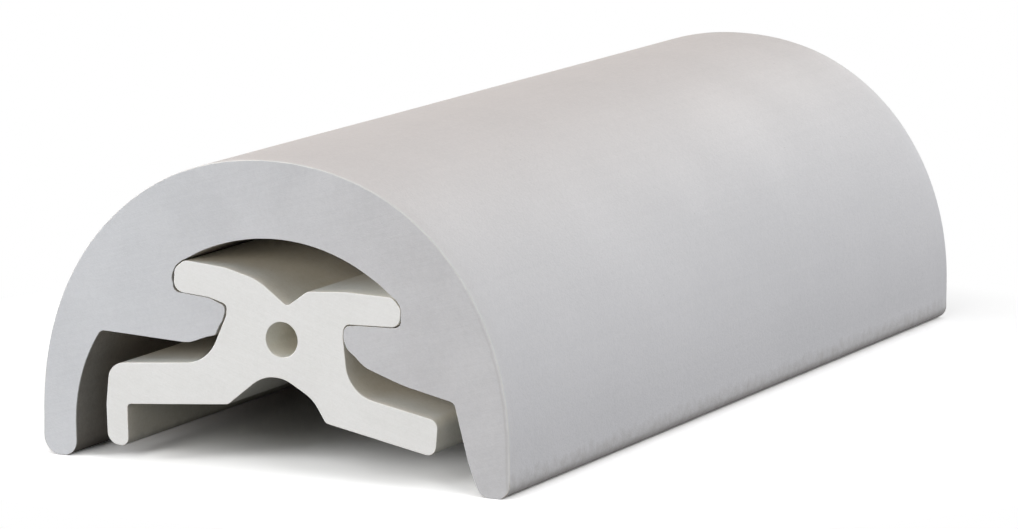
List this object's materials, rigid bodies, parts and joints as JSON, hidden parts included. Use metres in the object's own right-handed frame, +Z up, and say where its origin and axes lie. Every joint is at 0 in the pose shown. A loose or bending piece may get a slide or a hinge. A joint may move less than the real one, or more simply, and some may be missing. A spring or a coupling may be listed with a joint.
{
  "type": "fender profile",
  "caption": "Cut length of boat fender profile: a thick D-shaped flexible dome with hooks that clip over the arms of a rigid support profile with a bore and splayed legs.",
  "frame": {"origin": "centre of the bounding box's bottom face, on the floor midway between the two lips and midway along the length", "axes": "+Y along the stock, +Z up through the crown of the dome, +X across the section from the thicker left lip to the thinner right lip"},
  "size_m": [0.0654, 0.141, 0.0393],
  "materials": {
    "flexible_vinyl": "light grey flexible vinyl, matt with a faint silky sheen along the outer face and a plain sawn cut at each end",
    "rigid_vinyl": "off-white rigid vinyl, satin along the extruded faces and matt on the sawn ends"
  },
  "bodies": {
    "root": {"fender_profile": "flexible_vinyl", "support_profile": "rigid_vinyl"}
  },
  "joints": []
}
